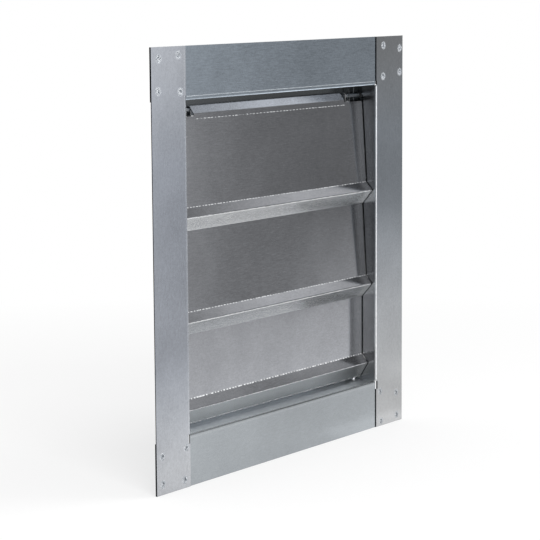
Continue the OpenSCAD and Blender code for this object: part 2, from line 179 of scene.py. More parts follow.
@dataclass(frozen=True)
class GalvanisedSheet:
    """Hot-dip galvanised steel sheet, skin-passed, so its spangle is fine and its rolling grain shows.

    Attributes:
        name: Name of the material.
        tone: Mean colour of the zinc.
        grain: Direction of rolling.
        roughness: Mean roughness of the surface.
        contrast: Half the spread of its light and dark parts.
        pivot: Height and lean of the sheet's own frame, for its fold lines.
        folds: Pale lines painted as highlights along the folds.
        painted_shading: Places along the grain in metres, each with a factor on the zinc's colour there: painted light
            above 1, painted shade below it.
        film: Places along Z in metres, each with the share of the bluish passivation film left there.
        painted_inner_shade: Depth behind which the inner faces take a painted shade of grey, in metres.
        painted_pale_undersides: Whether the faces that look down and forward are painted near white, a painted
            reflection of the bright surroundings below.
        points: Middles of the clinch points round which the zinc is crazed.
        web: Places along Z in metres, each with a factor on the colour of the faces behind the flange: painted shade
            below 1, painted light above it.
        tint: Share of the bluish film behind the flange.
        dulled: What weather adds to the roughness behind the flange.
        gap_shadows: Height, lean and foot of each blade in metres, for the painted shadow line on the web just in front
            of its end.
    """

    name: str
    tone: str
    grain: Grain
    roughness: float = 0.18
    contrast: float = 0.17
    pivot: tuple[float, float] = (0.0, 0.0)
    folds: tuple[FoldHighlight, ...] = ()
    painted_shading: tuple[tuple[float, float], ...] = ()
    film: tuple[tuple[float, float], ...] = ((0.0, 1.0),)
    painted_inner_shade: float = 1.0
    painted_pale_undersides: bool = False
    points: tuple[Vector, ...] = ()
    web: tuple[tuple[float, float], ...] = ((0.0, 1.0),)
    tint: float = 0.4
    dulled: float = 0.0
    gap_shadows: tuple[tuple[float, float, float], ...] = ()

    def material(self) -> bpy.types.Material:
        """Builds the material.

        Returns:
            A node material on Object coordinates.
        """
        mat, tree = blank(self.name)
        place = add(tree, "ShaderNodeTexCoord").outputs["Object"]
        # Rolling drew the surface out along the grain: streaks 0.9 mm wide and 14 mm long
        stretch = [1 / 0.0009] * 3
        stretch[self.grain.value] = 1 / 0.014
        drawn = add(tree, "ShaderNodeMapping", {"Vector": place, "Scale": stretch})
        streaks = add(tree, "ShaderNodeTexNoise", {"Vector": drawn.outputs[0], "Scale": 1.0, "Detail": 3.0})
        # Spangle crystals of about 2.5 mm, each a little lighter or darker than the next
        crystals = add(tree, "ShaderNodeTexVoronoi", {"Vector": place, "Scale": 1 / 0.0025})
        # Clouds where the zinc cooled unevenly, 70 mm across
        clouds = add(tree, "ShaderNodeTexNoise", {"Vector": place, "Scale": 1 / 0.070, "Detail": 4.0})
        cell = add(tree, "ShaderNodeSeparateColor", {"Color": crystals.outputs["Color"]})
        mottle = add(tree, "ShaderNodeMath", {0: cell.outputs[0], 1: 0.22, 2: -0.11}, operation="MULTIPLY_ADD")
        lines = add(tree, "ShaderNodeMath", {0: streaks.outputs[0], 1: 1.0, 2: mottle.outputs[0]},
                    operation="MULTIPLY_ADD")
        mix = add(tree, "ShaderNodeMath", {0: clouds.outputs[0], 1: 0.7, 2: lines.outputs[0]},
                  operation="MULTIPLY_ADD")
        shade = add(tree, "ShaderNodeMapRange", {"Value": mix.outputs[0], "From Min": 0.45, "From Max": 1.25})
        colour = mixed(tree, shade.outputs[0], linear(self.tone, 1 - self.contrast),
                       linear(self.tone, 1 + self.contrast))
        # Painted light and shade along the grain: the colour is scaled by place, for the brighter and darker
        # surroundings that the sheet mirrors
        if self.painted_shading:
            along = add(tree, "ShaderNodeSeparateXYZ", {"Vector": place}).outputs[self.grain.value]
            kept = ramp(tree, along, self.painted_shading)
            colour = add(tree, "ShaderNodeVectorMath", {0: colour, "Scale": kept},
                         operation="SCALE").outputs[0]
        if not self.painted_pale_undersides:
            colour = self.inside(tree, place, colour)
        # Faces that look down and forward are painted near white: a painted reflection of the bright surroundings below
        if self.painted_pale_undersides:
            facing = add(tree, "ShaderNodeNewGeometry").outputs["True Normal"]
            faces = add(tree, "ShaderNodeSeparateXYZ", {"Vector": facing}).outputs
            down = add(tree, "ShaderNodeMath", {0: faces[2], 1: -0.3}, operation="LESS_THAN").outputs[0]
            ahead = add(tree, "ShaderNodeMath", {0: faces[1], 1: 0.0}, operation="LESS_THAN").outputs[0]
            share = add(tree, "ShaderNodeMath", {0: down, 1: ahead}, operation="MULTIPLY").outputs[0]
            colour = mixed(tree, share, colour, linear("#EAECED"))
            satin = add(tree, "ShaderNodeMath", {0: share, 1: 0.06}, operation="MULTIPLY").outputs[0]
            side = add(tree, "ShaderNodeMath", {0: faces[0]}, operation="ABSOLUTE")
            cut = add(tree, "ShaderNodeMath", {0: side.outputs[0], 1: 0.9}, operation="GREATER_THAN")
            colour = mixed(tree, cut.outputs[0], colour, linear("#2A2C2E"))
        rough = add(tree, "ShaderNodeMapRange", {"Value": streaks.outputs[0], "From Min": 0.3, "From Max": 0.7,
                                                 "To Min": self.roughness - 0.03,
                                                 "To Max": self.roughness + 0.04})
        if self.painted_pale_undersides:
            rough = add(tree, "ShaderNodeMath", {0: rough.outputs[0], 1: satin}, operation="ADD")
        else:
            # Behind the flange the zinc weathers duller
            depth = add(tree, "ShaderNodeSeparateXYZ", {"Vector": place}).outputs[1]
            dull = add(tree, "ShaderNodeMapRange", {"Value": depth, "From Min": FRONT_Y + 0.0022,
                                                    "From Max": FRONT_Y + 0.0045, "To Min": 0.0,
                                                    "To Max": self.dulled})
            rough = add(tree, "ShaderNodeMath", {0: rough.outputs[0], 1: dull.outputs[0]}, operation="ADD")
        # Thin sheet is never quite flat: waves 120 mm long and a tenth of a millimetre high
        waves = add(tree, "ShaderNodeTexNoise", {"Vector": place, "Scale": 1 / 0.120, "Detail": 1.0})
        wavy = add(tree, "ShaderNodeBump", {"Height": waves.outputs[0], "Distance": 0.0004, "Strength": 1.0})
        fine = add(tree, "ShaderNodeBump", {"Height": streaks.outputs[0], "Distance": 0.000004, "Strength": 0.6,
                                            "Normal": wavy.outputs[0]})
        metallic: bpy.types.NodeSocket | float = 1.0
        if self.painted_pale_undersides:
            # Toward its right end the blade is made less metallic, a painted sheen of diffuse light
            along = add(tree, "ShaderNodeSeparateXYZ", {"Vector": place}).outputs[0]
            metallic = add(tree, "ShaderNodeMapRange", {"Value": along, "From Min": 0.222, "From Max": 0.236,
                                                        "To Min": 1.0, "To Max": 0.85}).outputs[0]
        metal = add(tree, "ShaderNodeBsdfPrincipled", {"Base Color": colour, "Metallic": metallic,
                                                       "Roughness": rough.outputs[0],
                                                       "Normal": fine.outputs[0]})
        if self.folds:
            self.paint_fold_highlights(tree, place, colour, metal)
        if self.points:
            self.clinch(tree, place, metal)
        add(tree, "ShaderNodeOutputMaterial", {"Surface": metal.outputs[0]})
        return mat

    def inside(self, tree: bpy.types.NodeTree, place: bpy.types.NodeSocket,
               colour: bpy.types.NodeSocket) -> bpy.types.NodeSocket:
        """Thins the bluish film behind the flange, paints shade and light on the faces behind it, paints shadow lines
        beside the blades' ends and darkens the cut edges.

        Args:
            tree: The material's node tree.
            place: The coordinates of the surface.
            colour: The colour of the flange.

        Returns:
            The colour of the whole member.
        """
        axes = add(tree, "ShaderNodeSeparateXYZ", {"Vector": place}).outputs
        facing = add(tree, "ShaderNodeNewGeometry").outputs["True Normal"]
        faces = add(tree, "ShaderNodeSeparateXYZ", {"Vector": facing}).outputs
        away = add(tree, "ShaderNodeMath", {0: axes[2 - self.grain.value]}, operation="ABSOLUTE")
        inner = add(tree, "ShaderNodeMath", {0: away.outputs[0], 1: 0.2508}, operation="LESS_THAN").outputs[0]
        behind = add(tree, "ShaderNodeMapRange", {"Value": axes[1], "From Min": FRONT_Y + 0.0022,
                                                  "From Max": FRONT_Y + 0.0045, "To Min": 1.0, "To Max": self.tint})
        share = add(tree, "ShaderNodeMath", {0: behind.outputs[0], 1: ramp(tree, axes[2], self.film)},
                    operation="MULTIPLY")
        # Painted shade and light on the faces behind the flange, a factor on their colour by height
        kept = add(tree, "ShaderNodeMapRange", {"Value": axes[1], "From Min": FRONT_Y + 0.0022,
                                                "From Max": FRONT_Y + 0.0045, "To Min": 1.0,
                                                "To Max": ramp(tree, axes[2], self.web)})
        # A painted shadow line on the inner web, just in front of each blade's end
        for height, lean, foot in self.gap_shadows:
            origin = Matrix.Rotation(lean, 3, "X") @ Vector((0, PIVOT_Y, height))
            own = add(tree, "ShaderNodeMapping", {"Vector": place, "Rotation": (lean, 0, 0), "Location": -origin})
            spot = add(tree, "ShaderNodeSeparateXYZ", {"Vector": own.outputs[0]}).outputs
            gap = add(tree, "ShaderNodeMath", {0: spot[1], 1: -6.6 * MM, 2: 1.2 * MM}, operation="COMPARE")
            span = add(tree, "ShaderNodeMath", {0: spot[2], 1: foot / 2, 2: -foot / 2}, operation="COMPARE")
            line = add(tree, "ShaderNodeMath", {0: gap.outputs[0], 1: span.outputs[0]}, operation="MULTIPLY")
            line = add(tree, "ShaderNodeMath", {0: line.outputs[0], 1: inner}, operation="MULTIPLY")
            rest = add(tree, "ShaderNodeMath", {0: line.outputs[0], 1: -0.7, 2: 1.0}, operation="MULTIPLY_ADD")
            kept = add(tree, "ShaderNodeMath", {0: kept.outputs[0], 1: rest.outputs[0]}, operation="MULTIPLY")
        plain = add(tree, "ShaderNodeHueSaturation", {"Color": colour, "Saturation": share.outputs[0],
                                                      "Value": kept.outputs[0]}).outputs[0]
        # Painted shade, a flat grey, on what looks forward or sideways behind the blades
        front = add(tree, "ShaderNodeMath", {0: faces[1], 1: 0.5}, operation="LESS_THAN")
        back = add(tree, "ShaderNodeMath", {0: axes[1], 1: self.painted_inner_shade}, operation="GREATER_THAN")
        above = add(tree, "ShaderNodeMath", {0: axes[2], 1: -0.2}, operation="GREATER_THAN")
        painted_inner_shade = add(tree, "ShaderNodeMath", {0: front.outputs[0], 1: back.outputs[0]}, operation="MULTIPLY")
        for limit in (above.outputs[0], inner):
            painted_inner_shade = add(tree, "ShaderNodeMath", {0: painted_inner_shade.outputs[0], 1: limit}, operation="MULTIPLY")
        plain = mixed(tree, painted_inner_shade.outputs[0], plain, linear("#7C8083"))
        # Cut edges show the bare steel core, darker than the zinc
        side = add(tree, "ShaderNodeMath", {0: faces[0]}, operation="ABSOLUTE")
        edge = add(tree, "ShaderNodeMath", {0: side.outputs[0], 1: 0.9}, operation="GREATER_THAN")
        thin = add(tree, "ShaderNodeMath", {0: axes[1], 1: FRONT_Y + 0.0032}, operation="LESS_THAN")
        wide = add(tree, "ShaderNodeMath", {0: add(tree, "ShaderNodeMath", {0: axes[0]}, operation="ABSOLUTE")
                                            .outputs[0], 1: 0.329}, operation="GREATER_THAN")
        high = add(tree, "ShaderNodeMath", {0: add(tree, "ShaderNodeMath", {0: axes[2]}, operation="ABSOLUTE")
                                            .outputs[0], 1: 0.2505}, operation="GREATER_THAN")
        ends = add(tree, "ShaderNodeMath", {0: wide.outputs[0], 1: high.outputs[0]}, operation="MAXIMUM")
        cut = add(tree, "ShaderNodeMath", {0: edge.outputs[0], 1: thin.outputs[0]}, operation="MULTIPLY")
        cut = add(tree, "ShaderNodeMath", {0: cut.outputs[0], 1: ends.outputs[0]}, operation="MULTIPLY")
        return mixed(tree, cut.outputs[0], plain, linear("#3C3F42"))

    def clinch(self, tree: bpy.types.NodeTree, place: bpy.types.NodeSocket, metal: bpy.types.Node) -> None:
        """Breaks up the zinc round the clinch points into pale and grey flecks.

        Args:
            tree: The material's node tree.
            place: The coordinates of the surface.
            metal: The shader that takes the flecks.
        """
        near: bpy.types.NodeSocket | float = 1.0
        for point in self.points:
            gap = add(tree, "ShaderNodeVectorMath", {0: place, 1: tuple(point)}, operation="DISTANCE")
            near = add(tree, "ShaderNodeMath", {0: near, 1: gap.outputs["Value"]},
                       operation="MINIMUM").outputs[0]
        # Flecks of about 2.5 mm, thinning out 7 mm from the middle of the point
        grit = add(tree, "ShaderNodeTexNoise", {"Vector": place, "Scale": 1 / 0.0026, "Detail": 1.0})
        within = add(tree, "ShaderNodeMapRange", {"Value": near, "From Min": 0.0075, "From Max": 0.0045})
        low = add(tree, "ShaderNodeSeparateXYZ", {"Vector": place}).outputs
        fade = add(tree, "ShaderNodeMapRange", {"Value": low[2], "From Min": -0.2, "From Max": 0.2,
                                                "To Min": 0.65, "To Max": 0.95})
        cover = add(tree, "ShaderNodeMath", {0: within.outputs[0], 1: fade.outputs[0]}, operation="MULTIPLY")
        pale = add(tree, "ShaderNodeMapRange", {"Value": grit.outputs[0], "From Min": 0.48, "From Max": 0.56})
        fleck = mixed(tree, pale.outputs[0], linear("#8B9198"), linear("#D6D9DD"))
        for name, low_end in (("Base Color", fleck), ("Metallic", 0.15)):
            old = metal.inputs[name].links[0].from_socket if metal.inputs[name].is_linked else 1.0
            if name == "Base Color":
                new = mixed(tree, cover.outputs[0], old, low_end)
            else:
                new = add(tree, "ShaderNodeMix", {"Factor": cover.outputs[0], "A": old, "B": low_end},
                          data_type="FLOAT").outputs[0]
            tree.links.new(new, metal.inputs[name])

    def paint_fold_highlights(self, tree: bpy.types.NodeTree, place: bpy.types.NodeSocket, colour: bpy.types.NodeSocket,
              metal: bpy.types.Node) -> None:
        """Lays the painted highlights of the fold lines over the zinc, pale and dull rather than mirror-like.

        Args:
            tree: The material's node tree.
            place: The coordinates of the surface.
            colour: The colour under the flakes.
            metal: The shader that takes the flaked colour.
        """
        height, lean = self.pivot
        origin = Matrix.Rotation(lean, 3, "X") @ Vector((0, PIVOT_Y, height))
        own = add(tree, "ShaderNodeMapping", {"Vector": place, "Rotation": (lean, 0, 0), "Location": -origin})
        axes = add(tree, "ShaderNodeSeparateXYZ", {"Vector": own.outputs[0]})
        # Patches of about 6 mm along the painted highlights, some of them fainter
        far, across = (0, 2) if self.grain is Grain.ACROSS else (2, 0)
        breaks = add(tree, "ShaderNodeTexNoise", {"Vector": place, "Scale": 1 / 0.006, "Detail": 1.0})
        away = add(tree, "ShaderNodeMath", {0: axes.outputs[far]}, operation="ABSOLUTE")
        total: bpy.types.NodeSocket | float = 0.0
        for fold in self.folds:
            off = add(tree, "ShaderNodeMath", {0: axes.outputs[across], 1: -fold.height * MM}, operation="ADD")
            gap = add(tree, "ShaderNodeMath", {0: off.outputs[0]}, operation="ABSOLUTE")
            band = add(tree, "ShaderNodeMapRange", {"Value": gap.outputs[0], "From Min": fold.width * MM / 2,
                                                    "From Max": fold.width * MM / 4})
            ends = add(tree, "ShaderNodeMapRange", {"Value": away.outputs[0], "From Min": fold.reach * MM,
                                                    "From Max": (fold.reach - 2) * MM,
                                                    "To Max": fold.strength})
            rows = breaks.outputs[0]
            if fold.glints:
                dot_phase = add(tree, "ShaderNodeMath", {0: axes.outputs[far], 1: 2 * math.pi / (fold.glints * MM)},
                            operation="MULTIPLY")
                wave = add(tree, "ShaderNodeMath", {0: dot_phase.outputs[0]}, operation="SINE")
                rows = add(tree, "ShaderNodeMath", {0: wave.outputs[0], 1: 0.18, 2: rows},
                           operation="MULTIPLY_ADD").outputs[0]
            bits = add(tree, "ShaderNodeMapRange", {"Value": rows, "From Min": 0.42, "From Max": 0.57,
                                                    "To Min": 0.12 if self.painted_pale_undersides else 0.85})
            held = add(tree, "ShaderNodeMath", {0: ends.outputs[0], 1: bits.outputs[0]}, operation="MULTIPLY")
            line = add(tree, "ShaderNodeMath", {0: band.outputs[0], 1: held.outputs[0], 2: total},
                       operation="MULTIPLY_ADD")
            total = line.outputs[0]
        # On the frame the lines keep to the flange and its bend
        reach = PIVOT_Y + 1 if self.painted_pale_undersides else FRONT_Y + 0.0017
        near = add(tree, "ShaderNodeMath", {0: add(tree, "ShaderNodeSeparateXYZ", {"Vector": place}).outputs[1],
                                            1: reach}, operation="LESS_THAN")
        glints = add(tree, "ShaderNodeMath", {0: total, 1: near.outputs[0]}, operation="MULTIPLY",
                    use_clamp=True).outputs[0]
        dull = add(tree, "ShaderNodeMath", {0: 1.0, 1: glints}, operation="SUBTRACT")
        if metal.inputs["Metallic"].is_linked:
            dull = add(tree, "ShaderNodeMath", {0: dull.outputs[0], 1: metal.inputs["Metallic"].links[0].from_socket},
                       operation="MULTIPLY")
        tree.links.new(mixed(tree, glints, colour, linear("#F4F6F8")), metal.inputs["Base Color"])
        tree.links.new(dull.outputs[0], metal.inputs["Metallic"])


@dataclass(frozen=True)
class BurnishedZinc:
    """Zinc pushed up and burnished pale round a clinch point; the rims at the lower right corner are greyer and more
    metallic.
    """

    name: str
    tone: str = "#DADEE2"
    corner_tone: str = "#BFC4C8"

    def material(self) -> bpy.types.Material:
        """Builds the material; the rims at the lower right corner take the greyer tone and more metal."""
        mat, tree = blank(self.name)
        place = add(tree, "ShaderNodeTexCoord").outputs["Object"]
        axes = add(tree, "ShaderNodeSeparateXYZ", {"Vector": place})
        right = add(tree, "ShaderNodeMath", {0: axes.outputs[0], 1: 0.0}, operation="GREATER_THAN")
        low = add(tree, "ShaderNodeMath", {0: axes.outputs[2], 1: 0.0}, operation="LESS_THAN")
        corner = add(tree, "ShaderNodeMath", {0: right.outputs[0], 1: low.outputs[0]}, operation="MULTIPLY")
        metallic = add(tree, "ShaderNodeMath", {0: corner.outputs[0], 1: 0.7, 2: 0.25}, operation="MULTIPLY_ADD")
        # Smears about 2 mm long
        smears = add(tree, "ShaderNodeTexNoise", {"Vector": place, "Scale": 1 / 0.0022, "Detail": 1.0})
        spots = add(tree, "ShaderNodeMapRange", {"Value": smears.outputs[0], "From Min": 0.44, "From Max": 0.56})
        pale = mixed(tree, spots.outputs[0], linear("#858C94"), linear(self.tone))
        colour = mixed(tree, corner.outputs[0], pale, linear(self.corner_tone))
        bump = add(tree, "ShaderNodeBump", {"Height": smears.outputs[0], "Distance": 0.0001})
        zinc = add(tree, "ShaderNodeBsdfPrincipled", {"Base Color": colour, "Metallic": metallic.outputs[0],
                                                      "Roughness": 0.40, "Normal": bump.outputs[0]})
        add(tree, "ShaderNodeOutputMaterial", {"Surface": zinc.outputs[0]})
        return mat


@dataclass(frozen=True)
class ZincPlate:
    """Bright zinc plate on turned or pressed steel: even, smooth and a little bluish."""

    name: str
    tone: str = "#B9BEC4"
    roughness: float = 0.28

    def material(self) -> bpy.types.Material:
        """Builds the material with the faint tool marks of turning."""
        mat, tree = blank(self.name)
        place = add(tree, "ShaderNodeTexCoord").outputs["Object"]
        # Fine tool marks, 0.4 mm apart
        marks = add(tree, "ShaderNodeTexNoise", {"Vector": place, "Scale": 1 / 0.0004, "Detail": 2.0})
        rough = add(tree, "ShaderNodeMapRange", {"Value": marks.outputs[0], "To Min": self.roughness - 0.08,
                                                 "To Max": self.roughness + 0.10})
        colour = mixed(tree, marks.outputs[0], linear(self.tone, 0.8), linear(self.tone))
        bump = add(tree, "ShaderNodeBump", {"Height": marks.outputs[0], "Distance": 0.00002})
        metal = add(tree, "ShaderNodeBsdfPrincipled", {"Base Color": colour, "Metallic": 1.0,
                                                       "Roughness": rough.outputs[0],
                                                       "Normal": bump.outputs[0]})
        add(tree, "ShaderNodeOutputMaterial", {"Surface": metal.outputs[0]})
        return mat


@dataclass(frozen=True)
class MouldedNylon:
    """Black moulded nylon: a satin skin with a faint moulding texture."""

    name: str
    tone: str = "#1B1C1E"

    def material(self) -> bpy.types.Material:
        """Builds the material."""
        mat, tree = blank(self.name)
        place = add(tree, "ShaderNodeTexCoord").outputs["Object"]
        # A spark-eroded mould leaves a grain of about 0.6 mm
        skin = add(tree, "ShaderNodeTexNoise", {"Vector": place, "Scale": 1 / 0.0006, "Detail": 2.0})
        colour = mixed(tree, skin.outputs[0], linear(self.tone), linear("#2C2E31"))
        bump = add(tree, "ShaderNodeBump", {"Height": skin.outputs[0], "Distance": 0.00003})
        body = add(tree, "ShaderNodeBsdfPrincipled", {"Base Color": colour, "Roughness": 0.42, "IOR": 1.53,
                                                      "Normal": bump.outputs[0]})
        add(tree, "ShaderNodeOutputMaterial", {"Surface": body.outputs[0]})
        return mat


def dress(node: str, material: bpy.types.Material) -> None:
    """Gives a carried-over solid its material.

    Args:
        node: Name of the solid.
        material: Material for all its slots.
    """
    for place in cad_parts[node].material_slots:
        place.material = material
    log.info("%s: %s", node, material.name)


@dataclass
class FoldedFrame:
    """The four folded members of the frame."""

    # Pale lines painted as highlights: on the rails along the die's creases, on the stiles along their inner bends
    rail_highlights: tuple[FoldHighlight, ...] = (FoldHighlight(256, 1.3, 249, 0.42), FoldHighlight(-256, 1.0, 249, 0.25))
    stile_highlights: tuple[FoldHighlight, ...] = (
        FoldHighlight(251.7, 2.6, 249, 0.75), FoldHighlight(-251.2, 2.6, 249, 0.60), FoldHighlight(-254.4, 1.2, 325, 0.25))
    batches: dict[str, tuple[str, Grain, float]] = field(default_factory=lambda: {
        "left_stile": ("#BFC5D0", Grain.UP, 0.17),
        "right_stile": ("#BDC3CA", Grain.UP, 0.13),
        "top_rail": ("#B7C3CF", Grain.ACROSS, 0.21),
        "bottom_rail": ("#A9AEB2", Grain.ACROSS, 0.10),
    })
    # Painted light and shade along each member's grain, as factors on its colour
    painted_shadings: dict[str, tuple[tuple[float, float], ...]] = field(default_factory=lambda: {
        "left_stile": ((-0.33, 0.95), (-0.25, 0.92), (-0.12, 0.73), (0.0, 1.00), (0.15, 1.10), (0.33, 1.48)),
        "right_stile": ((-0.33, 0.84), (-0.24, 0.88), (-0.12, 1.08), (0.05, 0.94), (0.18, 1.35), (0.33, 1.10)),
        "top_rail": ((-0.25, 1.06), (0.0, 1.28), (0.25, 1.34)),
        "bottom_rail": ((-0.25, 1.08), (0.0, 0.93), (0.25, 1.02)),
    })
    films: dict[str, tuple[tuple[float, float], ...]] = field(default_factory=lambda: {
        "left_stile": ((-0.30, 0.40), (-0.15, 0.85), (0.15, 1.0), (0.30, 0.75)),
        "right_stile": ((-0.28, 0.20), (-0.12, 0.60), (0.05, 1.20), (0.18, 1.25), (0.33, 0.50)),
        "top_rail": ((0.0, 0.95),),
        "bottom_rail": ((0.0, 1.0),),
    })

    def build(self) -> None:
        """Dresses each member in sheet of its own batch, its grain along its length."""
        points = ClinchRims().places()
        for node, (tone, grain, contrast) in self.batches.items():
            up = grain is Grain.UP
            side = -1 if node == "left_stile" else 1
            sheet = GalvanisedSheet(
                f"galvanised_{node}", tone, grain, contrast=contrast,
                folds=self.stile_highlights if up else self.rail_highlights, painted_shading=self.painted_shadings[node],
                film=self.films[node], painted_inner_shade={"bottom_rail": 1.0, "top_rail": 0.012}.get(node, 0.004),
                web={"bottom_rail": ((0.0, 1.85),), "top_rail": ((0.0, 1.0),)}.get(
                    node, ((-0.03, 0.84), (0.16, 0.68))), tint=0.8 if node == "bottom_rail" else 0.4,
                dulled=0.18 if node == "bottom_rail" else 0.0,
                gap_shadows=LouvreBlades().planes() if up else (),
                points=tuple(p for p in points if p.x * side > 0) if up else ())
            dress(node, sheet.material())


@dataclass
class ClinchRims:
    """The burnished rims that the clinching punch raised in each dished point."""

    edge: float = 15.0
    far: float = 63.0
    radius: float = 5.1
    half_width: float = 0.95
    half_height: float = 0.27
    depth: float = 0.30
    wander: tuple[tuple[tuple[float, float], ...], ...] = (
        ((2, 2), (-1, -2), (0, 1), (3, 4)), ((-6, 6), (-5, 0), (-6, -2), (-4, 3)),
        ((-1, 1), (2, -2), (-2, -5), (6, -2)), ((1, -4), (1, -7), (3, -13), (4, -3)))

    def places(self) -> list[Vector]:
        """Lists the middles of the sixteen rims: top left, top right, bottom left, bottom right."""
        grid = ((self.edge, self.edge), (self.far, self.edge), (self.edge, self.far), (self.far, self.far))
        corners = ((-1, 1), (1, 1), (-1, -1), (1, -1))
        y = FRONT_Y + self.depth * MM
        return [Vector((sx * (HALF - (g[0] + w[0]) * MM), y, sz * (HALF - (g[1] + w[1]) * MM)))
                for (sx, sz), steps in zip(corners, self.wander) for g, w in zip(grid, steps)]

    def tree(self, material: bpy.types.Material) -> bpy.types.NodeTree:
        """Builds the tree that sets one lumpy rim on every point.

        Args:
            material: Material of the rims.

        Returns:
            The node tree.
        """
        tree = bpy.data.node_groups.new("clinch_rims", "GeometryNodeTree")
        face = tree.interface
        face.new_socket("Geometry", in_out="INPUT", socket_type="NodeSocketGeometry")
        for name in ("Rim radius", "Half width", "Half height", "Lump height"):
            face.new_socket(name, in_out="INPUT", socket_type="NodeSocketFloat")
        face.new_socket("Seed", in_out="INPUT", socket_type="NodeSocketInt")
        face.new_socket("Geometry", in_out="OUTPUT", socket_type="NodeSocketGeometry")
        given = add(tree, "NodeGroupInput").outputs
        flat = (math.pi / 2, 0.0, 0.0)
        path = add(tree, "GeometryNodeCurvePrimitiveCircle", {"Resolution": 40, "Radius": given["Rim radius"]})
        bead = add(tree, "GeometryNodeCurvePrimitiveCircle", {"Resolution": 10, "Radius": 1.0})
        size = add(tree, "ShaderNodeCombineXYZ", {0: given["Half width"], 1: given["Half height"], 2: 1.0})
        oval = add(tree, "GeometryNodeTransform", {"Geometry": bead.outputs[0], "Scale": size.outputs[0]})
        rim = add(tree, "GeometryNodeCurveToMesh", {"Curve": path.outputs[0], "Profile Curve": oval.outputs[0]})
        upright = add(tree, "GeometryNodeTransform", {"Geometry": rim.outputs[0], "Rotation": flat})
        spin = add(tree, "FunctionNodeRandomValue", {"Seed": given["Seed"], 1: (0.0, 6.28, 0.0)},
                   data_type="FLOAT_VECTOR")
        rims = add(tree, "GeometryNodeInstanceOnPoints", {"Points": given["Geometry"],
                                                          "Instance": upright.outputs[0],
                                                          "Rotation": spin.outputs[0]})
        real = add(tree, "GeometryNodeRealizeInstances", {"Geometry": rims.outputs[0]})
        # Lumps about 3 mm apart, where the drawn zinc piled up
        where = add(tree, "GeometryNodeInputPosition")
        lumps = add(tree, "ShaderNodeTexNoise", {"Vector": where.outputs[0], "Scale": 1 / 0.003, "Detail": 0.0})
        lift = add(tree, "ShaderNodeMath", {0: lumps.outputs[0], 1: given["Lump height"]}, operation="MULTIPLY")
        shift = add(tree, "ShaderNodeCombineXYZ", {1: lift.outputs[0]})
        lumpy = add(tree, "GeometryNodeSetPosition", {"Geometry": real.outputs[0], "Offset": shift.outputs[0]})
        done = add(tree, "GeometryNodeSetMaterial", {"Geometry": lumpy.outputs[0], "Material": material})
        add(tree, "NodeGroupOutput", {0: done.outputs[0]})
        return tree

    def build(self) -> None:
        """Makes the rims as one plain mesh that rides on the frame."""
        points = bpy.data.meshes.new("clinch_points")
        points.from_pydata([tuple(p) for p in self.places()], [], [])
        carrier = bpy.data.objects.new("clinch_points", points)
        bpy.context.scene.collection.objects.link(carrier)
        tree = self.tree(BurnishedZinc("burnished_zinc").material())
        modifier = carrier.modifiers.new("rims", "NODES")
        modifier.node_group = tree
        values = {"Rim radius": self.radius * MM, "Half width": self.half_width * MM,
                  "Half height": self.half_height * MM, "Lump height": 0.12 * MM, "Seed": 7}
        for item in tree.interface.items_tree:
            if item.in_out == "INPUT" and item.name in values:
                modifier[item.identifier] = values[item.name]
        graph = bpy.context.evaluated_depsgraph_get()
        mesh = bpy.data.meshes.new_from_object(carrier.evaluated_get(graph))
        bpy.data.objects.remove(carrier)
        rims = bpy.data.objects.new("clinch_rims", mesh)
        bpy.context.scene.collection.objects.link(rims)
        bm = bmesh.new()
        bm.from_mesh(mesh)
        bmesh.ops.recalc_face_normals(bm, faces=bm.faces)
        bm.to_mesh(mesh)
        bm.free()
        mesh.shade_smooth()
        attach(rims, "frame")


@dataclass
class LouvreBlades:
    """The three folded blades."""

    tone: str = "#B2B4B9"
    roughness: float = 0.13
    highlight_share: tuple[float, float, float] = (0.68, 0.72, 0.85)
    line_widths: tuple[float, float, float] = (1.6, 1.7, 2.4)
    leans: tuple[float, float, float] = (3.53, 3.14, 0.0)
    feet: tuple[float, float, float] = (-145.4, -145.4, -122.3)

    # Painted light and shade along each blade, as factors on its colour by place along X
    painted_blade_shading: tuple[tuple[tuple[float, float], ...], ...] = (
        ((0.0, 1.03), (0.18, 0.93)), ((-0.2, 1.0), (0.0, 1.08), (0.18, 0.91)), ((-0.2, 0.92), (0.0, 0.96), (0.2, 1.08)))

    def planes(self) -> tuple[tuple[float, float, float], ...]:
        """Returns: The height, lean and foot of each blade at rest, in metres and radians."""
        return tuple((height, math.radians(lean), foot * MM)
                     for height, lean, foot in zip(PIVOT_Z, self.leans, self.feet))

    def build(self) -> None:
        """Dresses each blade, with painted highlights along its folds."""
        for i, (lean, foot, height) in enumerate(zip(self.leans, self.feet, PIVOT_Z), start=1):
            highlight_share = self.highlight_share[i - 1]
            # Pale lines painted as highlights along the blade's bends
            folds = (FoldHighlight(-14.5, 1.5, 198, highlight_share, 8.8), FoldHighlight(foot, self.line_widths[i - 1], 248, highlight_share, 7.4),
                     FoldHighlight(foot - 14.4, 0.9, 248, 0.60))
            if i == 3:
                folds += (FoldHighlight(-161.2, 2.6, 248, 0.75),)
            sheet = GalvanisedSheet(f"galvanised_blade_{i}", self.tone, Grain.ACROSS, self.roughness, 0.17,
                                    painted_shading=self.painted_blade_shading[i - 1],
                                    pivot=(height, math.radians(lean)), folds=folds, painted_pale_undersides=True)
            dress(f"blade_{i}", sheet.material())


@dataclass
class Pivots:
    """Brackets, pins and bushes on which the blades turn."""

    def build(self) -> None:
        """Dresses the pivots of all three blades."""
        strip = GalvanisedSheet("galvanised_strip", "#B4B8BD", Grain.UP).material()
        zinc = ZincPlate("zinc_plated_pin").material()
        nylon = MouldedNylon("black_nylon").material()
        for i in (1, 2, 3):
            for side in ("left", "right"):
                dress(f"{side}_bracket_{i}", strip)
                dress(f"{side}_pin_{i}", zinc)
                dress(f"{side}_bush_{i}", nylon)


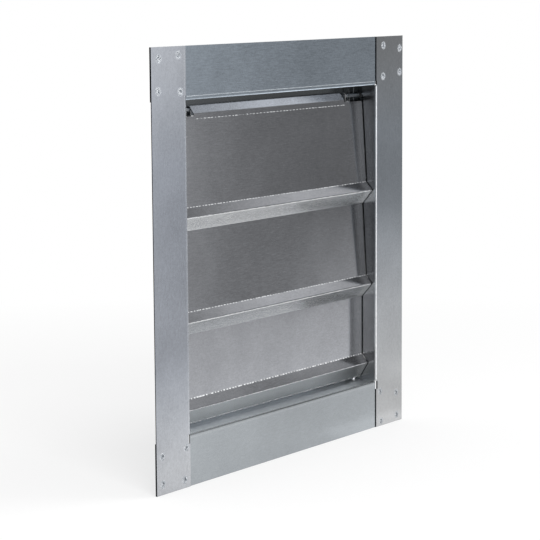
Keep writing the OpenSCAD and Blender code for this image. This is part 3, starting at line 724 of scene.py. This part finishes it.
@dataclass
class Linkage:
    """The bar behind the blades and its three rivets."""

    def build(self) -> None:
        """Dresses the bar and its pins."""
        dress("link_bar", GalvanisedSheet("galvanised_bar", "#B4B9BE", Grain.UP).material())
        rivet = ZincPlate("zinc_plated_rivet", "#C2C6CB", 0.24).material()
        for i in (1, 2, 3):
            dress(f"link_pin_{i}", rivet)


@dataclass(frozen=True)
class Flat:
    """One panel of the surround that only metal mirrors, placed by direction from the object.

    Attributes:
        turn: Direction of its middle in degrees, 0 in front and 90 at the right.
        rise: Height of its middle in degrees.
        half_turn: Half its width in degrees.
        half_rise: Half its height in degrees.
        soft_turn: Width of its soft upright edges in degrees.
        soft_rise: Width of its soft level edges in degrees.
        level: Brightness, where 1 is white.
    """

    turn: float
    rise: float
    half_turn: float
    half_rise: float
    soft_turn: float
    soft_rise: float
    level: float


@dataclass(frozen=True)
class Pool:
    """One patch of the floor that metal mirrors brighter or darker than the rest.

    Attributes:
        x: Middle of the patch in metres, to the right.
        y: Middle of the patch in metres, towards the back.
        half_x: Half its length along X.
        half_y: Half its length along Y.
        soft: Share of its size over which it fades in.
        level: Brightness, where 1 is white.
    """

    x: float
    y: float
    half_x: float
    half_y: float
    soft: float
    level: float


@dataclass
class Studio:
    """Floor, soft light, the surround that the metal mirrors, and the camera."""

    floor_z: float = CAD_BOX[0].z - 0.0005
    surround_radius: float = 1.5
    surround_levels: tuple[tuple[float, float], ...] = (
        (-180, 0.45), (-150, 0.42), (-100, 0.35), (-65, 0.18), (-35, 0.18), (-15, 0.40), (20, 0.55),
        (38, 0.64), (43, 0.52), (48, 0.31), (54, 0.23), (62, 0.25), (75, 0.30), (100, 0.40), (115, 0.75),
        (145, 0.75), (180, 0.45))
    flats: tuple[Flat, ...] = (
        Flat(81, 42, 8, 3, 6, 12, 0.78), Flat(60, 43, 4, 4, 4, 5, 0.55), Flat(-121, 15, 17, 40, 3, 3, 0.03),
        Flat(66, 0, 6, 4, 8, 10, 0.60), Flat(106, 42, 12, 9, 5, 6, 1.15), Flat(-100, 45, 7, 6, 5, 5, 3.2), Flat(-49, 18, 5, 7, 5, 6, 0.27),
        Flat(110, 8, 12, 12, 8, 8, 1.8))
    floor_levels: tuple[tuple[float, float], ...] = (
        (0.0, 1.05), (0.3, 1.05), (0.5, 0.86), (0.7, 0.74), (1.0, 0.62), (1.5, 0.60))
    pools: tuple[Pool, ...] = (
        Pool(0.28, -0.03, 0.12, 0.05, 0.4, 1.25), Pool(0.95, -0.19, 0.24, 0.10, 0.4, 1.6),
        Pool(-0.62, -0.19, 0.24, 0.08, 0.4, 1.6), Pool(-0.52, -0.54, 0.40, 0.30, 0.4, 0.05),
        Pool(-0.55, 0.16, 0.28, 0.16, 0.4, 0.0))
    camera_place: tuple[float, float, float] = (-2.59292, -1.92274, 0.42607)
    camera_turn: tuple[float, float, float] = (81.9144, 0.3794, -53.3297)
    focal_px: float = 2050.4
    image_px: int = 540

    def sheet(self, name: str, corners: list[list[Vector]], material: bpy.types.Material) -> bpy.types.Object:
        """Makes a stage sheet from a grid of points.

        Args:
            name: Name of the object.
            corners: Rows of points.
            material: Its material.

        Returns:
            The new stage object.
        """
        mesh = bpy.data.meshes.new(name)
        bm = bmesh.new()
        rows = [[bm.verts.new(p) for p in row] for row in corners]
        for low, high in zip(rows, rows[1:]):
            for a, b, c, d in zip(low, low[1:], high[1:], high):
                bm.faces.new((a, b, c, d))
        bm.to_mesh(mesh)
        bm.free()
        mesh.materials.append(material)
        obj = bpy.data.objects.new(name, mesh)
        bpy.context.scene.collection.objects.link(obj)
        return obj

    @staticmethod
    def patch(tree: bpy.types.NodeTree, level: bpy.types.NodeSocket | float, new: float,
              sides: tuple[tuple[bpy.types.NodeSocket, float, float, float], ...]) -> bpy.types.NodeSocket:
        """Lays a soft-edged patch of another level over a level.

        Args:
            tree: The node tree.
            level: The level so far.
            new: The level inside the patch.
            sides: For each direction the value, the patch's middle, its half size and its soft width.

        Returns:
            The level with the patch.
        """
        inside: bpy.types.NodeSocket | float = 1.0
        for value, middle, half, soft in sides:
            off = add(tree, "ShaderNodeMath", {0: value, 1: -middle}, operation="ADD")
            away = add(tree, "ShaderNodeMath", {0: off.outputs[0]}, operation="ABSOLUTE")
            edge = add(tree, "ShaderNodeMapRange", {"Value": away.outputs[0], "From Min": half + soft,
                                                    "From Max": half}, interpolation_type="SMOOTHSTEP")
            inside = add(tree, "ShaderNodeMath", {0: inside, 1: edge.outputs[0]},
                         operation="MULTIPLY").outputs[0]
        return add(tree, "ShaderNodeMix", {"Factor": inside, "A": level, "B": new},
                   data_type="FLOAT").outputs[0]

    @staticmethod
    def seen(tree: bpy.types.NodeTree) -> bpy.types.NodeSocket:
        """Returns 1 for rays that show the background: straight, mirrored or through glass."""
        ray = add(tree, "ShaderNodeLightPath")
        first = add(tree, "ShaderNodeMath", {0: ray.outputs["Is Camera Ray"], 1: ray.outputs["Is Glossy Ray"]},
                    operation="MAXIMUM")
        both = add(tree, "ShaderNodeMath", {0: first.outputs[0], 1: ray.outputs["Is Transmission Ray"]},
                   operation="MAXIMUM")
        return both.outputs[0]

    def floor(self) -> None:
        """Lays the pale floor: white, with the object's soft shadow near it."""
        mat, tree = blank("pale_floor")
        place = add(tree, "ShaderNodeTexCoord").outputs["Object"]
        out = add(tree, "ShaderNodeVectorMath", {0: place}, operation="LENGTH").outputs["Value"]
        share = add(tree, "ShaderNodeMapRange", {"Value": out, "From Min": 0.9, "From Max": 1.7,
                                                 "To Min": 0.62, "To Max": 1.0})
        axes = add(tree, "ShaderNodeSeparateXYZ", {"Vector": place}).outputs
        mirrored = ramp(tree, out, self.floor_levels)
        for pool in self.pools:
            mirrored = self.patch(tree, mirrored, pool.level, (
                (axes[0], pool.x, pool.half_x * (1 - pool.soft), pool.half_x * 2 * pool.soft),
                (axes[1], pool.y, pool.half_y * (1 - pool.soft), pool.half_y * 2 * pool.soft)))
        ray = add(tree, "ShaderNodeLightPath")
        level = add(tree, "ShaderNodeMix", {"Factor": ray.outputs["Is Glossy Ray"], "A": 1.0, "B": mirrored},
                    data_type="FLOAT")
        card = add(tree, "ShaderNodeBsdfDiffuse", {"Color": linear("#FAFAFA")})
        white = add(tree, "ShaderNodeEmission", {"Color": (1, 1, 1, 1), "Strength": level.outputs[0]})
        part = add(tree, "ShaderNodeMath", {0: self.seen(tree), 1: share.outputs[0]}, operation="MULTIPLY")
        both = add(tree, "ShaderNodeMixShader", {0: part.outputs[0], 1: card.outputs[0], 2: white.outputs[0]})
        add(tree, "ShaderNodeOutputMaterial", {"Surface": both.outputs[0]})
        z = self.floor_z
        self.sheet("floor", [[Vector((x, y, z)) for x in (-8, 8)] for y in (-8, 8)], mat)

    def surround(self) -> None:
        """Hangs the grey surround and its flats, which only the metal mirrors."""
        mat, tree = blank("grey_surround")
        place = add(tree, "ShaderNodeTexCoord").outputs["Object"]
        axes = add(tree, "ShaderNodeSeparateXYZ", {"Vector": place})
        front = add(tree, "ShaderNodeMath", {0: axes.outputs[1], 1: -1.0}, operation="MULTIPLY")
        angle = add(tree, "ShaderNodeMath", {0: axes.outputs[0], 1: front.outputs[0]}, operation="ARCTAN2")
        turn = add(tree, "ShaderNodeMath", {0: angle.outputs[0]}, operation="DEGREES").outputs[0]
        high = add(tree, "ShaderNodeMath", {0: axes.outputs[2], 1: -self.floor_z}, operation="ADD")
        sine = add(tree, "ShaderNodeMath", {0: high.outputs[0], 1: self.surround_radius}, operation="DIVIDE")
        angle_up = add(tree, "ShaderNodeMath", {0: sine.outputs[0]}, operation="ARCSINE")
        rise = add(tree, "ShaderNodeMath", {0: angle_up.outputs[0]}, operation="DEGREES").outputs[0]
        level = ramp(tree, turn, self.surround_levels)
        for flat in self.flats:
            level = self.patch(tree, level, flat.level, (
                (turn, flat.turn, flat.half_turn, flat.soft_turn),
                (rise, flat.rise, flat.half_rise, flat.soft_rise)))
        glow = add(tree, "ShaderNodeEmission", {"Color": (1, 1, 1, 1), "Strength": level})
        add(tree, "ShaderNodeOutputMaterial", {"Surface": glow.outputs[0]})
        points = []
        for up in range(0, 91, 5):
            e = math.radians(up)
            out = self.surround_radius * math.cos(e)
            z = self.floor_z + self.surround_radius * math.sin(e)
            points.append([Vector((out * math.sin(math.radians(a)), -out * math.cos(math.radians(a)), z))
                           for a in range(-180, 181, 5)])
        obj = self.sheet("grey_surround", points, mat)
        obj.visible_camera = False
        obj.visible_diffuse = False
        obj.visible_shadow = False
        obj.visible_transmission = False

    def world(self) -> None:
        """Sets an even white surround."""
        world = bpy.data.worlds.new("surround")
        bpy.context.scene.world = world
        world.use_nodes = True
        tree = world.node_tree
        tree.nodes.clear()
        level = add(tree, "ShaderNodeMath", {0: self.seen(tree), 1: 0.35, 2: 0.65}, operation="MULTIPLY_ADD")
        back = add(tree, "ShaderNodeBackground", {"Color": (1, 1, 1, 1), "Strength": level.outputs[0]})
        add(tree, "ShaderNodeOutputWorld", {"Surface": back.outputs[0]})

    def softbox(self, name: str, place: tuple[float, float, float], size: float, watts: float) -> None:
        """Hangs one soft lamp that looks at the object; the metal mirrors the surround, not the lamp.

        Args:
            name: Name of the lamp.
            place: Its position in metres.
            size: Its side in metres.
            watts: Its power.
        """
        lamp = bpy.data.lights.new(name, "AREA")
        lamp.shape = "SQUARE"
        lamp.size = size
        lamp.energy = watts
        obj = bpy.data.objects.new(name, lamp)
        obj.location = place
        obj.rotation_euler = (-Vector(place)).to_track_quat("-Z", "Y").to_euler()
        obj.visible_camera = False
        obj.visible_glossy = False
        bpy.context.scene.collection.objects.link(obj)

    def camera(self) -> None:
        """Places the camera where the photograph was taken."""
        data = bpy.data.cameras.new("camera")
        data.sensor_width = 36.0
        data.lens = self.focal_px / self.image_px * data.sensor_width
        data.clip_end = 50.0
        cam = bpy.data.objects.new("camera", data)
        cam.location = self.camera_place
        cam.rotation_euler = Euler([math.radians(a) for a in self.camera_turn], "XYZ")
        bpy.context.scene.collection.objects.link(cam)
        bpy.context.scene.camera = cam

    def build(self) -> None:
        """Sets up the whole studio."""
        self.camera()
        self.floor()
        self.surround()
        self.world()
        self.softbox("key", (-1.8, -2.2, 2.0), 1.6, 60)
        self.softbox("fill", (1.6, -1.6, 2.4), 1.6, 30)
        bpy.context.scene.view_settings.view_transform = "Standard"


def main() -> None:
    """Builds every sub-assembly and the studio."""
    logging.basicConfig(level=logging.INFO)
    Studio().build()
    for part in (FoldedFrame(), ClinchRims(), LouvreBlades(), Pivots(), Linkage()):
        part.build()
        log.info("built %s", type(part).__name__)


if __name__ == "__main__":
    main()
